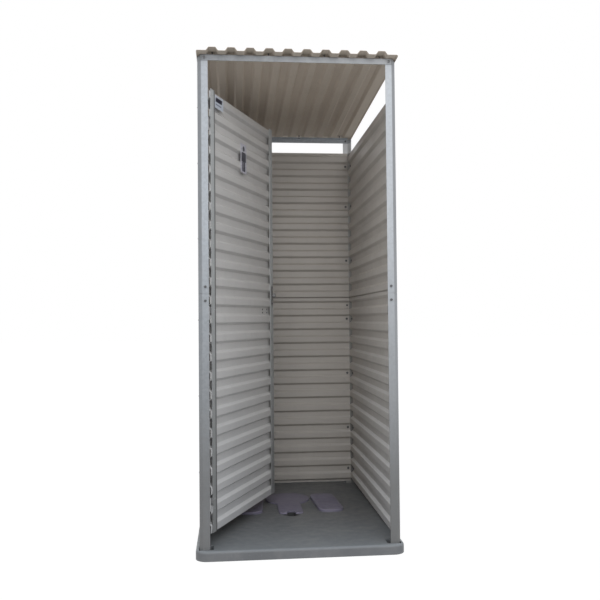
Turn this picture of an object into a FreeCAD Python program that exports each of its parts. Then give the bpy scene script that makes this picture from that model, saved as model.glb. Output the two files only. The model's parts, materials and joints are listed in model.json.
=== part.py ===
import FreeCAD
import Part
import math
import os

from FreeCAD import Rotation, Vector

# Portable latrine cabin. X runs to the right, Y to the back and Z up; the front faces -Y.
# The origin is at the centre of the slab's footprint, on the ground.

# Driving sizes of the frame and the slab
FRAME_W = 810.0
FRAME_D = 1160.0
SLAB_MARGIN_X = 16.0
SLAB_MARGIN_Y = 23.0
SLAB_H = 40.0
SLAB_CORNER_R = 48.0
SLAB_EDGE_R = 12.0
DECK_T = 6.0
SKIRT_T = 6.0
RIB_T = 5.0
RIB_RAISE = 4.0
CROSS_RIB_COUNT = 5
LONG_RIB_COUNT = 4

# Corner posts: a folded angle with a bevelled corner
POST_FACE = 42.0
POST_BEVEL = 14.0
POST_T = 2.5
POST_BEND_R = 2.0
POST_SEAM_Z = 1054.0
SEAM_GAP = 1.0
POST_TOP_GAP = 0.5
POCKET = 58.0
POCKET_DEPTH = 14.0
POCKET_R = 8.0
POCKET_CLEAR = 3.0

# Top rails
RAIL_LEG = 25.0
RAIL_T = 2.5
RAIL_BEND_R = 1.0
FRONT_RAIL_TOP = 2019.0
BACK_RAIL_TOP = 1969.0
FRONT_RAIL_END_GAP = 10.0
BACK_RAIL_END_GAP = 1.0

# Splice plates and cleats
SPLICE_H = 92.0
SPLICE_T = 3.0
SPLICE_BOLT_OFFSET = 28.0
SPLICE_EDGE_INSET = 6.5
BEND_CLEAR = 1.0
CLEAT_H = 14.0
CLEAT_W = 22.0
CLEAT_LEG = 34.0
CLEAT_T = 3.0
ANCHOR_INSET = 20.4

# Corrugated sheet: trapezoid wave, 76.2 mm (3 in) pitch
PITCH = 76.2
WAVE_DEPTH = 15.0
WAVE_FLAT = 28.0
SHEET_T = 1.0
WAVE_BEND_R = 4.0

# Walls. Each wall is two sheets that lap beside the posts' seam.
WALL_DECK_GAP = 0.5
WALL_VENT_H = 82.0
LOWER_CREST_RISE = 10.0
UPPER_CREST_RISE = 33.0
LOWER_SHEET_RISE = 12.0
UPPER_SHEET_DROP = 10.0
SIDE_SHEET_FRONT_GAP = 16.0
SHEET_END_GAP = 1.0
SCREW_RIB_COUNT = 4
SCREW_EDGE_INSET = 12.0
BACK_SCREW_SHIFT = 3.0

# Roof, with a lip turned down along each side edge
ROOF_OVERHANG_Y = 40.0
ROOF_OVERHANG_X = 2.5
ROOF_CREST_X = -40.0
ROOF_LIP_H = 8.0
ROOF_SCREW_COUNT = 3
ROOF_SCREW_SIDE_INSET = 50.0
SEAL_R = 8.0
SEAL_T = 2.0

# Door leaf, with the photographed opening
DOOR_OPEN_DEG = 66.5
DOOR_DECK_GAP = 58.0
DOOR_TOP_DROP = 130.0
DOOR_HINGE_GAP = 6.0
DOOR_OVERLAP = 4.0
DOOR_FRONT_GAP = 1.5
DOOR_CREST_RISE = 15.8
HINGE_STILE_INSET = 12.0
STILE_W = 38.0
STILE_T = 3.0

# Hinges
HINGE_AXIS_IN = 2.0
HINGE_PIN_R = 4.0
HINGE_BARREL_R = 7.0
HINGE_RUN_CLEAR = 0.08
HINGE_KNUCKLE_H = 26.0
HINGE_GAP = 0.5
HINGE_LEAF_T = 3.0
HINGE_LEAF_H = 24.0
HINGE_LEAF_BITE = 33.0
HINGE_RIVET_INSETS = (8.0, 26.0)
HINGE_END_INSET = 120.0
SPLICE_HINGE_GAP = 2.0

# Fasteners: radius, head across flats, head height, nut height
M6_R = 3.0
M6_AF = 10.0
M6_HEAD = 4.0
M6_NUT = 5.0
M6_TAIL = 2.0
HOLE_CLEAR = 0.25
WALL_SCREW_R = 2.75
WALL_SCREW_AF = 8.0
WALL_SCREW_HEAD = 4.0
WALL_SCREW_WASHER_R = 6.5
WALL_SCREW_WASHER_T = 1.2
WALL_SCREW_TIP = 2.0
WALL_SCREW_TIP_R = 1.6
RIVET_R = 2.0
RIVET_HEAD_R = 4.0
RIVET_HEAD_T = 1.4
RIVET_TAIL_R = 3.0

# Footrests and drop hole
FOOTREST_X = 125.0
FOOTREST_W = 121.0
FOOTREST_FRONT_Y = -72.0
FOOTREST_L = 325.0
FOOTREST_H = 12.0
FOOTREST_R = 44.0
FOOTREST_TOE_DEG = 3.6
FOOTREST_EDGE_R = 4.0
FOOTREST_SCREW_INSET = 55.0
FOOTREST_SCREW_BITE = 5.0
FOOTREST_SCREW_HEAD = 3.0
SCREW_HEAD_CLEAR = 1.5
TREAD_COUNT = 9
TREAD_W = 5.0
TREAD_DEPTH = 2.0
TREAD_END_INSET = 46.0
TREAD_SIDE_INSET = 15.0
LID_STEM_HALF = 57.0
LID_STEM_CORNER_R = 22.0
LID_MIN_CORNER_R = 4.0
LID_NECK_R = 18.0
LID_FRONT_Y = -88.0
LID_ROUND_R = 110.0
LID_ROUND_Y = 190.0
LID_H = 7.0
LID_WALL = 3.0
LID_EDGE_R = 2.5
LID_OVERLAP = 14.0
LID_SEAT_GAP = 0.3
LID_PLUG_DEPTH = 12.0
LID_PLUG_CLEAR = 2.0
NOTCH_W = 40.0
NOTCH_L = 32.0
NOTCH_TO_HOLE = 8.0
SCOOP_FRONT = 34.0
SCOOP_DEPTH = 18.0
SCOOP_WALL = 3.0
SCOOP_R = 12.0
SCOOP_BACK = 1.0
CHUTE_T = 5.0

# Door fittings
KNOB_HEAD_R = 10.0
KNOB_NECK_R = 5.0
KNOB_H = 16.0
KNOB_HEAD_H = 9.0
KNOB_EDGE_R = 2.5
KNOB_PLATE_W = 26.0
KNOB_PLATE_H = 92.0
KNOB_PLATE_T = 2.0
SIGN_W = 66.0
SIGN_H = 132.0
SIGN_T = 1.5
SIGN_U = 327.0
SIGN_DROP = 282.0
LABEL_W = 84.0
LABEL_H = 52.0
LABEL_U = 56.0
LABEL_DROP = 13.0
PLATE_EDGE_INSET = 7.0
PLATE_CORNER_R = 5.0

# Slide bolt on the inner face of the door
BOLT_R = 5.0
BOLT_CASE_CLEAR = 0.08
BOLT_CASE_L = 108.0
BOLT_CASE_H = 22.0
BOLT_CASE_BASE_T = 2.0
BOLT_CASE_END = 6.0
BOLT_GUIDE_L = 14.0
BOLT_GUIDE_BACK = 68.0
BOLT_GUIDE_TOP = 2.5
BOLT_FLOOR_GAP = 1.0
BOLT_RIVET_X = (41.0, 98.0)
BOLT_RIVET_Z = 7.5
BOLT_L = 104.0
BOLT_CHAMFER = 1.0
BOLT_REST_BACK = 3.0
BOLT_GRIP_BACK = 60.0
BOLT_GRIP_R = 3.5
BOLT_GRIP_L = 16.0
BOLT_GRIP_END_R = 5.5
KEEPER_T = 3.0
KEEPER_CLEAR = 1.5
KEEPER_W = 26.0
KEEPER_DOOR_GAP = 3.0
KEEPER_TOP = 8.0
KEEPER_BEVEL_GAP = 4.0

# Values that follow from the driving sizes
FRONT_Y = -FRAME_D / 2
BACK_Y = FRAME_D / 2
POST_X = FRAME_W / 2
SLAB_W = FRAME_W + 2 * SLAB_MARGIN_X
SLAB_D = FRAME_D + 2 * SLAB_MARGIN_Y
POCKET_Z = SLAB_H - POCKET_DEPTH
POST_FLAT_START = POST_BEVEL + (POST_T + POST_BEND_R) * math.tan(math.radians(22.5))
FLAT_MID = (POST_FACE + POST_BEVEL) / 2
WALL_FACE_X = POST_X - POST_T
WALL_FACE_Y = BACK_Y - POST_T
WALL_BOTTOM = SLAB_H + WALL_DECK_GAP
WALL_TOP = BACK_RAIL_TOP - WALL_VENT_H
LOWER_CREST_Z = POST_SEAM_Z + LOWER_CREST_RISE
UPPER_CREST_Z = POST_SEAM_Z + UPPER_CREST_RISE
LOWER_SHEET_TOP = POST_SEAM_Z + LOWER_SHEET_RISE
UPPER_SHEET_BOTTOM = POST_SEAM_Z - UPPER_SHEET_DROP
ROOF_SLOPE = (FRONT_RAIL_TOP - BACK_RAIL_TOP) / FRAME_D
ROOF_TILT = math.degrees(math.atan(ROOF_SLOPE))
HOLE_FRONT_Y = LID_FRONT_Y + NOTCH_L + NOTCH_TO_HOLE
DOOR_Y = FRONT_Y + POST_T + DOOR_FRONT_GAP
DOOR_X = -POST_X + POST_FACE + DOOR_HINGE_GAP
DOOR_W = FRAME_W - 2 * POST_FACE - DOOR_HINGE_GAP + DOOR_OVERLAP
DOOR_BOTTOM = SLAB_H + DOOR_DECK_GAP
DOOR_TOP = FRONT_RAIL_TOP - DOOR_TOP_DROP
DOOR_CREST_Z = DOOR_BOTTOM + DOOR_CREST_RISE
DOOR_SHEET_Y = DOOR_Y + STILE_T
DOOR_TROUGH_Y = DOOR_SHEET_Y + WAVE_DEPTH
HINGE_X = -POST_X + POST_FACE - HINGE_AXIS_IN
HINGE_Y = FRONT_Y + POST_T + HINGE_BARREL_R + HINGE_GAP


def box(x0, x1, y0, y1, z0, z1):
    return Part.makeBox(x1 - x0, y1 - y0, z1 - z0, Vector(x0, y0, z0))


def rod(radius, start, end):
    direction = end - start
    return Part.makeCylinder(radius, direction.Length, start, direction)


def hexagon(across_flats, height, centre, direction):
    radius = across_flats / math.sqrt(3)
    points = []
    for k in range(7):
        angle = math.radians(60 * k)
        points.append(Vector(radius * math.cos(angle), radius * math.sin(angle), 0))
    prism = Part.Face(Part.makePolygon(points)).extrude(Vector(0, 0, height))
    prism.Placement = FreeCAD.Placement(centre, Rotation(Vector(0, 0, 1), direction))
    return prism


def rounded_edges(points, radii):
    """Edges along points, with an arc of the given radius at each inner point."""
    edges = []
    start = points[0]
    for k in range(1, len(points) - 1):
        corner = points[k]
        before = (corner - points[k - 1]).normalize()
        after = (points[k + 1] - corner).normalize()
        turn = before.getAngle(after)
        radius = radii[k]
        cut = radius * math.tan(turn / 2)
        if cut < 1e-6:
            edges.append(Part.LineSegment(start, corner).toShape())
            start = corner
            continue
        first = corner - before * cut
        last = corner + after * cut
        inward = (after - before).normalize()
        middle = corner + inward * (radius / math.cos(turn / 2) - radius)
        edges.append(Part.LineSegment(start, first).toShape())
        edges.append(Part.Arc(first, middle, last).toShape())
        start = last
    edges.append(Part.LineSegment(start, points[-1]).toShape())
    return edges


def strip_face(path, thickness, bend_r):
    """Section of a folded sheet: path is its right-hand side, thickness is to the left."""
    count = len(path)
    left = []
    right_radii = [0.0] * count
    left_radii = [0.0] * count
    for k in range(count):
        before = path[k] - path[k - 1] if k else path[1] - path[0]
        after = path[k + 1] - path[k] if k < count - 1 else before
        before = Vector(before).normalize()
        after = Vector(after).normalize()
        side_before = Vector(-before.y, before.x, 0)
        side_after = Vector(-after.y, after.x, 0)
        half = before.getAngle(after) / 2
        mitre = (side_before + side_after).normalize() * (thickness / math.cos(half))
        left.append(path[k] + mitre)
        turns_left = before.x * after.y - before.y * after.x > 0
        right_radii[k] = bend_r + thickness if turns_left else bend_r
        left_radii[k] = bend_r if turns_left else bend_r + thickness
    edges = rounded_edges(path, right_radii)
    edges.append(Part.LineSegment(path[-1], left[-1]).toShape())
    edges += rounded_edges(left[::-1], left_radii[::-1])
    edges.append(Part.LineSegment(left[0], path[0]).toShape())
    return Part.Face(Part.Wire(edges))


def wave_points(start, end, crest):
    """Trapezoid wave between two heights; crests are at y 0 and troughs at the depth."""
    slope = PITCH / 2 - WAVE_FLAT
    rise = WAVE_DEPTH - SHEET_T
    half = WAVE_FLAT / 2
    corners = []
    first = math.floor((start - crest) / PITCH) - 1
    last = math.ceil((end - crest) / PITCH) + 1
    for k in range(first, last + 1):
        mid = crest + k * PITCH
        corners.append((mid - half, 0.0))
        corners.append((mid + half, 0.0))
        corners.append((mid + half + slope, rise))
        corners.append((mid + half + slope + WAVE_FLAT, rise))
    keep = WAVE_BEND_R + SHEET_T
    points = [Vector(start, wave_height(corners, start), 0)]
    for along, height in corners:
        if start + keep < along < end - keep:
            points.append(Vector(along, height, 0))
    points.append(Vector(end, wave_height(corners, end), 0))
    return points


def wave_height(corners, along):
    for (a0, h0), (a1, h1) in zip(corners, corners[1:]):
        if a0 <= along <= a1:
            return h0 + (h1 - h0) * (along - a0) / (a1 - a0)
    return 0.0


def corrugated(start, end, crest, width):
    """Sheet with its wave along local X, its depth along +Y and its width along +Z."""
    face = strip_face(wave_points(start, end, crest), SHEET_T, WAVE_BEND_R)
    return face.extrude(Vector(0, 0, width))


def place(shape, x_axis, y_axis, origin):
    """Carry local X and Y to the given directions."""
    z_axis = x_axis.cross(y_axis)
    matrix = FreeCAD.Matrix(
        x_axis.x, y_axis.x, z_axis.x, origin.x,
        x_axis.y, y_axis.y, z_axis.y, origin.y,
        x_axis.z, y_axis.z, z_axis.z, origin.z,
        0, 0, 0, 1)
    moved = shape.copy()
    moved.Placement = FreeCAD.Placement(matrix)
    return moved


def cut_all(shape, tools):
    return shape.cut(Part.makeCompound(tools)) if tools else shape


def mirror_x(shape):
    return shape.mirror(Vector(0, 0, 0), Vector(1, 0, 0))


def mirror_y(shape):
    return shape.mirror(Vector(0, 0, 0), Vector(0, 1, 0))


def rounded_box(x0, x1, y0, y1, z0, z1, radius):
    block = box(x0, x1, y0, y1, z0, z1)
    upright = [e for e in block.Edges if abs(e.tangentAt(e.FirstParameter).z) > 0.9]
    return block.makeFillet(radius, upright)


def edges_at_z(shape, level):
    return [e for e in shape.Edges
            if abs(e.BoundBox.ZMin - level) < 1e-4 and abs(e.BoundBox.ZMax - level) < 1e-4]


def keyhole(grow, z0, z1, near=None):
    """Keyhole block of the lid's outline, grown by a margin; near moves its front edge."""
    stem = LID_STEM_HALF + grow
    if near is None:
        near = LID_FRONT_Y - grow
    corner = max(LID_STEM_CORNER_R + min(grow, 0), LID_MIN_CORNER_R)
    radius = LID_ROUND_R + grow
    stem_block = rounded_box(-stem, stem, near, LID_ROUND_Y, z0, z1, corner)
    disc = Part.makeCylinder(radius, z1 - z0, Vector(0, LID_ROUND_Y, z0))
    block = stem_block.fuse(disc).removeSplitter()
    neck_y = LID_ROUND_Y - math.sqrt(radius ** 2 - stem ** 2)
    neck = [e for e in block.Edges if e.BoundBox.ZLength > z1 - z0 - 1e-4
            and abs(e.BoundBox.YMin - neck_y) < 1e-3 and e.BoundBox.YLength < 1e-4]
    return block.makeFillet(LID_NECK_R - grow, neck)


def sides():
    return (("left", -1), ("right", 1))


def corners():
    for end, end_sign in (("front", -1), ("back", 1)):
        for side, side_sign in sides():
            yield f"{end}_{side}", side_sign, end_sign


def at_corner(shape, side_sign, end_sign):
    """Carry a shape made for the front left corner to another corner."""
    if side_sign > 0:
        shape = mirror_x(shape)
    if end_sign > 0:
        shape = mirror_y(shape)
    return shape


# Slab


def cleat_bolt_x():
    return POST_X - FLAT_MID


def anchor_y():
    return BACK_Y - POST_T - ANCHOR_INSET


def footrest_centre():
    return Vector(FOOTREST_X + FOOTREST_W / 2, FOOTREST_FRONT_Y + FOOTREST_L / 2, 0)


def footrest_screw_points():
    """Two points on the right footrest's middle line, which is toed out at the front."""
    toe = math.radians(FOOTREST_TOE_DEG)
    reach = Vector(-math.sin(toe), math.cos(toe), 0) * (FOOTREST_L / 2 - FOOTREST_SCREW_INSET)
    points = (footrest_centre() - reach, footrest_centre() + reach)
    return [(point.x, point.y) for point in points]


def slab_pocket(grow, z0, z1):
    x0 = -POST_X - POCKET_CLEAR
    y0 = FRONT_Y - POCKET_CLEAR
    return rounded_box(x0 - grow, x0 + POCKET + grow, y0 - grow, y0 + POCKET + grow,
                       z0, z1, POCKET_R + grow)


def make_slab():
    half_w = SLAB_W / 2
    half_d = SLAB_D / 2
    slab = rounded_box(-half_w, half_w, -half_d, half_d, 0, SLAB_H, SLAB_CORNER_R)
    slab = slab.makeFillet(SLAB_EDGE_R, edges_at_z(slab, SLAB_H))
    under = SLAB_H - DECK_T
    hollow = rounded_box(-half_w + SKIRT_T, half_w - SKIRT_T, -half_d + SKIRT_T,
                         half_d - SKIRT_T, 0, under, SLAB_CORNER_R - SKIRT_T)
    solids = []
    for k in range(CROSS_RIB_COUNT):
        y = -half_d + SLAB_D * (k + 1) / (CROSS_RIB_COUNT + 1)
        solids.append(box(-half_w, half_w, y - RIB_T / 2, y + RIB_T / 2, RIB_RAISE, SLAB_H))
    for k in range(LONG_RIB_COUNT):
        x = -half_w + SLAB_W * (k + 1) / (LONG_RIB_COUNT + 1)
        solids.append(box(x - RIB_T / 2, x + RIB_T / 2, -half_d, half_d, RIB_RAISE, SLAB_H))
    for _, side_sign, end_sign in corners():
        boss = slab_pocket(RIB_T, POCKET_Z - DECK_T, SLAB_H)
        solids.append(at_corner(boss, side_sign, end_sign))
    solids.append(keyhole(CHUTE_T - LID_OVERLAP, RIB_RAISE, SLAB_H, HOLE_FRONT_Y - CHUTE_T))
    scoop = scoop_block(0.0, SLAB_H - SCOOP_DEPTH)
    solids.append(scoop_block(SCOOP_WALL, SLAB_H - SCOOP_DEPTH - SCOOP_WALL))
    hollow = hollow.cut(Part.makeCompound(solids))
    slab = slab.cut(hollow)
    cuts = [keyhole(-LID_OVERLAP, -1, SLAB_H + 1, HOLE_FRONT_Y), scoop]
    for _, side_sign, end_sign in corners():
        cuts.append(at_corner(slab_pocket(0, POCKET_Z, SLAB_H + 1), side_sign, end_sign))
        hole = Part.makeCylinder(M6_R + HOLE_CLEAR, SLAB_H,
                                 Vector(-cleat_bolt_x(), -anchor_y(), 1))
        cuts.append(at_corner(hole, side_sign, end_sign))
    for _, sign in sides():
        for x, y in footrest_screw_points():
            cuts.append(Part.makeCylinder(WALL_SCREW_R + HOLE_CLEAR, DECK_T + 2,
                                          Vector(sign * x, y, under - 1)))
            cuts.append(Part.makeCylinder(WALL_SCREW_WASHER_R + SCREW_HEAD_CLEAR, under,
                                          Vector(sign * x, y, 0)))
    return slab.cut(Part.makeCompound(cuts))


def scoop_block(grow, z0):
    """Finger scoop in the deck, in front of the lid and under its notch."""
    half = NOTCH_W / 2 + grow
    return rounded_box(-half, half, LID_FRONT_Y - SCOOP_FRONT - grow,
                       LID_FRONT_Y + NOTCH_L + SCOOP_BACK + grow,
                       z0, SLAB_H + 1, SCOOP_R + grow)


def make_footrest(sign):
    x0 = FOOTREST_X
    y0 = FOOTREST_FRONT_Y
    rest = rounded_box(x0, x0 + FOOTREST_W, y0, y0 + FOOTREST_L, SLAB_H,
                       SLAB_H + FOOTREST_H, FOOTREST_R)
    rest = rest.makeFillet(FOOTREST_EDGE_R, edges_at_z(rest, SLAB_H + FOOTREST_H))
    grooves = []
    step = (FOOTREST_L - 2 * TREAD_END_INSET) / (TREAD_COUNT - 1)
    for k in range(TREAD_COUNT):
        y = y0 + TREAD_END_INSET + k * step
        grooves.append(rounded_box(x0 + TREAD_SIDE_INSET, x0 + FOOTREST_W - TREAD_SIDE_INSET,
                                   y - TREAD_W / 2, y + TREAD_W / 2,
                                   SLAB_H + FOOTREST_H - TREAD_DEPTH,
                                   SLAB_H + FOOTREST_H + 1, TREAD_W * 0.48))
    rest = rest.cut(Part.makeCompound(grooves))
    rest.rotate(footrest_centre(), Vector(0, 0, 1), FOOTREST_TOE_DEG)
    rest = cut_all(rest, [
        Part.makeCylinder(WALL_SCREW_R + HOLE_CLEAR, FOOTREST_SCREW_BITE + 2,
                          Vector(x, y, SLAB_H - 1))
        for x, y in footrest_screw_points()])
    return rest if sign > 0 else mirror_x(rest)


def make_footrest_screws():
    screws = []
    under = SLAB_H - DECK_T
    for _, sign in sides():
        for x, y in footrest_screw_points():
            head = Part.makeCylinder(WALL_SCREW_WASHER_R, FOOTREST_SCREW_HEAD,
                                     Vector(sign * x, y, under - FOOTREST_SCREW_HEAD))
            shank = Part.makeCylinder(WALL_SCREW_R, DECK_T + FOOTREST_SCREW_BITE,
                                      Vector(sign * x, y, under))
            screws.append(head.fuse(shank))
    return screws


def make_lid():
    base = SLAB_H + LID_SEAT_GAP
    top = base + LID_H
    lid = keyhole(0, base, top)
    lid = lid.makeFillet(LID_EDGE_R, edges_at_z(lid, top))
    lid = lid.cut(keyhole(-LID_WALL, base - 1, top - LID_WALL))
    inset = -LID_OVERLAP - LID_PLUG_CLEAR
    plug_front = HOLE_FRONT_Y + LID_PLUG_CLEAR
    plug = keyhole(inset, base - LID_PLUG_DEPTH, top - LID_WALL, plug_front)
    plug = plug.cut(keyhole(inset - LID_WALL, base - LID_PLUG_DEPTH - 1, top,
                            plug_front + LID_WALL))
    lid = lid.fuse(plug)
    notch = notch_block(0.0, base - 1, top + 1)
    wall = notch_block(LID_WALL, base, top - LID_WALL / 2)
    wall = wall.common(keyhole(-LID_WALL / 2, base, top))
    lid = lid.fuse(wall)
    return lid.cut(notch).removeSplitter()


def notch_block(grow, z0, z1):
    half = NOTCH_W / 2 + grow
    tip = LID_FRONT_Y + NOTCH_L - NOTCH_W / 2
    block = box(-half, half, LID_FRONT_Y - 10, tip, z0, z1)
    return block.fuse(Part.makeCylinder(half, z1 - z0, Vector(0, tip, z0)))


# Frame


def post_section():
    far = POST_FACE
    path = [
        Vector(0, far, 0),
        Vector(0, POST_BEVEL, 0),
        Vector(POST_BEVEL, 0, 0),
        Vector(far, 0, 0),
    ]
    return strip_face(path, POST_T, POST_BEND_R)


def post_top(end_sign):
    """Underside of the rail's sloping leg, over the post."""
    if end_sign < 0:
        return FRONT_RAIL_TOP - (POST_FACE + RAIL_T) * max(ROOF_SLOPE, 0) - RAIL_T - POST_TOP_GAP
    return BACK_RAIL_TOP - RAIL_T - POST_TOP_GAP


def front_flange_holes(z0, z1, levels):
    """Bolt holes through the flange that faces the front, at the front left corner."""
    tools = []
    for z in levels:
        if z0 < z < z1:
            start = Vector(-POST_X + FLAT_MID, FRONT_Y - 10, z)
            tools.append(rod(M6_R + HOLE_CLEAR, start, start + Vector(0, 25, 0)))
    return tools


def rail_bolt_z(end_sign):
    if end_sign < 0:
        return FRONT_RAIL_TOP - RAIL_LEG / 2 - 1
    return BACK_RAIL_TOP - RAIL_LEG / 2 - 1


def post_levels(end_sign):
    return [POST_SEAM_Z - SPLICE_BOLT_OFFSET, POST_SEAM_Z + SPLICE_BOLT_OFFSET,
            rail_bolt_z(end_sign)]


def make_post(side_sign, end_sign, z0, z1):
    section = post_section()
    section.translate(Vector(-POST_X, FRONT_Y, z0))
    post = section.extrude(Vector(0, 0, z1 - z0))
    tools = front_flange_holes(z0, z1, post_levels(end_sign))
    tools += side_flange_holes(end_sign, z0, z1)
    if end_sign > 0:
        tools += back_flange_holes(z0, z1)
    post = cut_all(post, tools)
    return at_corner(post, side_sign, end_sign)


def side_flange_holes(end_sign, z0, z1):
    """Screw holes through the side flange, in the front left frame."""
    edge = side_screw_inset(end_sign)
    tools = []
    for z in screw_levels():
        if z0 < z < z1:
            start = Vector(-POST_X - 5, FRONT_Y + edge, z)
            tools.append(rod(WALL_SCREW_R, start, start + Vector(15, 0, 0)))
    return tools


def back_flange_holes(z0, z1):
    tools = []
    for z in screw_levels():
        if z0 < z < z1:
            start = Vector(-POST_X + back_screw_inset(), FRONT_Y - 5, z)
            tools.append(rod(WALL_SCREW_R, start, start + Vector(0, 15, 0)))
    return tools


def make_splice(side_sign, end_sign):
    """Plate behind the front flange; behind the post, at the back, it lies outside."""
    x0 = -POST_X + POST_FLAT_START + BEND_CLEAR
    x1 = -POST_X + POST_FACE - SPLICE_EDGE_INSET
    near = FRONT_Y + POST_T if end_sign < 0 else FRONT_Y - SPLICE_T
    z0 = POST_SEAM_Z - SPLICE_H / 2
    plate = box(x0, x1, near, near + SPLICE_T, z0, z0 + SPLICE_H)
    plate = cut_all(plate, front_flange_holes(z0, z0 + SPLICE_H, post_levels(end_sign)))
    return at_corner(plate, side_sign, end_sign)


def make_cleat(side_sign, end_sign):
    """Foot angle welded inside the post; its anchor bolt holds it down."""
    mid = -POST_X + FLAT_MID
    x0 = -POST_X + POST_FLAT_START + BEND_CLEAR
    x1 = x0 + CLEAT_W
    y0 = FRONT_Y + POST_T
    upright = box(x0, x1, y0, y0 + CLEAT_T, POCKET_Z, POCKET_Z + CLEAT_H)
    foot = box(x0, x1, y0, y0 + CLEAT_LEG, POCKET_Z, POCKET_Z + CLEAT_T)
    cleat = upright.fuse(foot).removeSplitter()
    hole = Part.makeCylinder(M6_R + HOLE_CLEAR, 20, Vector(mid, -anchor_y(), POCKET_Z - 5))
    return at_corner(cleat.cut(hole), side_sign, end_sign)


def bolt(start, direction, length):
    """Hexagon bolt: the head is behind start, the shank runs on from it."""
    head = hexagon(M6_AF, M6_HEAD, start - direction * M6_HEAD, direction)
    return head.fuse(rod(M6_R, start, start + direction * length))


def nut(start, direction):
    body = hexagon(M6_AF, M6_NUT, start, direction)
    return body.cut(rod(M6_R, start - direction, start + direction * (M6_NUT + 1)))


def bolt_set(stack, level, flip=False):
    """Bolt and nut through the facing flange; stack is what they clamp before and behind
    the flange's outer face, and flip puts the head inside."""
    mid = -POST_X + FLAT_MID
    near = FRONT_Y - stack[0]
    far = FRONT_Y + stack[1]
    forward = Vector(0, 1, 0)
    length = stack[0] + stack[1] + M6_NUT + M6_TAIL
    if flip:
        first = bolt(Vector(mid, far, level), forward * -1, length)
        second = nut(Vector(mid, near, level), forward * -1)
    else:
        first = bolt(Vector(mid, near, level), forward, length)
        second = nut(Vector(mid, far, level), forward)
    return first, second


def make_frame_bolts():
    """Every post bolt with its nut, by group."""
    groups = {"splice_bolts": [], "splice_nuts": [], "rail_bolts": [], "rail_nuts": [],
              "anchor_bolts": [], "anchor_nuts": []}
    for _, side_sign, end_sign in corners():
        front = end_sign < 0
        for step in (-1, 1):
            level = POST_SEAM_Z + step * SPLICE_BOLT_OFFSET
            grip = POST_T + SHEET_T if step < 0 else POST_T
            stack = (0, POST_T + SPLICE_T) if front else (SPLICE_T, grip)
            pair = bolt_set(stack, level, flip=not front)
            groups["splice_bolts"].append(at_corner(pair[0], side_sign, end_sign))
            groups["splice_nuts"].append(at_corner(pair[1], side_sign, end_sign))
        stack = (RAIL_T, POST_T) if front else (0, POST_T + RAIL_T)
        pair = bolt_set(stack, rail_bolt_z(end_sign), flip=not front)
        groups["rail_bolts"].append(at_corner(pair[0], side_sign, end_sign))
        groups["rail_nuts"].append(at_corner(pair[1], side_sign, end_sign))
        anchor = Vector(-POST_X + FLAT_MID, -anchor_y(), POCKET_Z + CLEAT_T)
        down = Vector(0, 0, -1)
        length = CLEAT_T + DECK_T + M6_NUT + M6_TAIL
        groups["anchor_bolts"].append(at_corner(bolt(anchor, down, length), side_sign, end_sign))
        under = Vector(anchor.x, anchor.y, POCKET_Z - DECK_T)
        groups["anchor_nuts"].append(at_corner(nut(under, down), side_sign, end_sign))
    return groups


def rail_section(sign):
    """Angle with its upper leg folded to the roof's slope; sign is the leg's direction."""
    drop = RAIL_LEG * ROOF_SLOPE
    tip = Vector(RAIL_LEG, -drop if sign > 0 else drop, 0)
    path = [tip, Vector(0, 0, 0), Vector(0, -RAIL_LEG, 0)]
    return strip_face(path, RAIL_T, RAIL_BEND_R)


def make_front_rail():
    half = POST_X - FRONT_RAIL_END_GAP
    rail = rail_section(1).extrude(Vector(0, 0, 2 * half))
    rail = place(rail, Vector(0, 1, 0), Vector(0, 0, 1),
                 Vector(-half, FRONT_Y - RAIL_T, FRONT_RAIL_TOP))
    tools = []
    for sign in (-1, 1):
        hole = front_flange_holes(0, FRONT_RAIL_TOP, [rail_bolt_z(-1)])[0]
        tools.append(hole if sign < 0 else mirror_x(hole))
    tools += roof_screw_holes(-1)
    return cut_all(rail, tools)


def make_back_rail():
    half = POST_X - POST_FLAT_START - BACK_RAIL_END_GAP
    rail = rail_section(-1).extrude(Vector(0, 0, 2 * half))
    rail = place(rail, Vector(0, -1, 0), Vector(0, 0, 1),
                 Vector(half, BACK_Y - POST_T, back_rail_top()))
    tools = []
    for sign in (-1, 1):
        hole = mirror_y(front_flange_holes(0, BACK_RAIL_TOP, [rail_bolt_z(1)])[0])
        tools.append(hole if sign < 0 else mirror_x(hole))
    tools += roof_screw_holes(1)
    return cut_all(rail, tools)


def roof_underside(y):
    """Height of the roof's trough faces at a depth."""
    return FRONT_RAIL_TOP - (y - (FRONT_Y - RAIL_T)) * ROOF_SLOPE


def back_rail_top():
    return roof_underside(BACK_Y - POST_T)


# Walls


def trough_levels(crest, z0, z1):
    """Heights of the outward troughs between two levels, clear of both by a quarter wave."""
    low = z0 + PITCH / 4
    first = math.ceil((low - crest - PITCH / 2) / PITCH)
    levels = []
    z = crest + PITCH / 2 + first * PITCH
    while z < z1 - PITCH / 4:
        levels.append(z)
        z += PITCH
    return levels


def screw_levels():
    """Heights of the wall screws: every fourth trough, counted from the lap, and the last."""
    upper = trough_levels(UPPER_CREST_Z, UPPER_SHEET_BOTTOM, WALL_TOP)
    lower = trough_levels(LOWER_CREST_Z, WALL_BOTTOM, LOWER_SHEET_TOP)[::-1]
    half_step = SCREW_RIB_COUNT // 2
    levels = set(upper[half_step::SCREW_RIB_COUNT] + upper[-1:])
    levels.update(lower[half_step - 1::SCREW_RIB_COUNT] + lower[-1:])
    return sorted(levels)


def side_screw_inset(end_sign):
    """Distance of the side screws from the post's outer face, along Y."""
    inset = POST_FACE - SCREW_EDGE_INSET
    return inset if end_sign < 0 else inset + BACK_SCREW_SHIFT


def back_screw_inset():
    return POST_FACE - SCREW_EDGE_INSET


def side_sheet_ends():
    front = FRONT_Y + SIDE_SHEET_FRONT_GAP
    back = BACK_Y - POST_T - WAVE_DEPTH - SHEET_END_GAP
    return front, back


def back_sheet_half():
    return POST_X - POST_FLAT_START - SHEET_END_GAP


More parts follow.
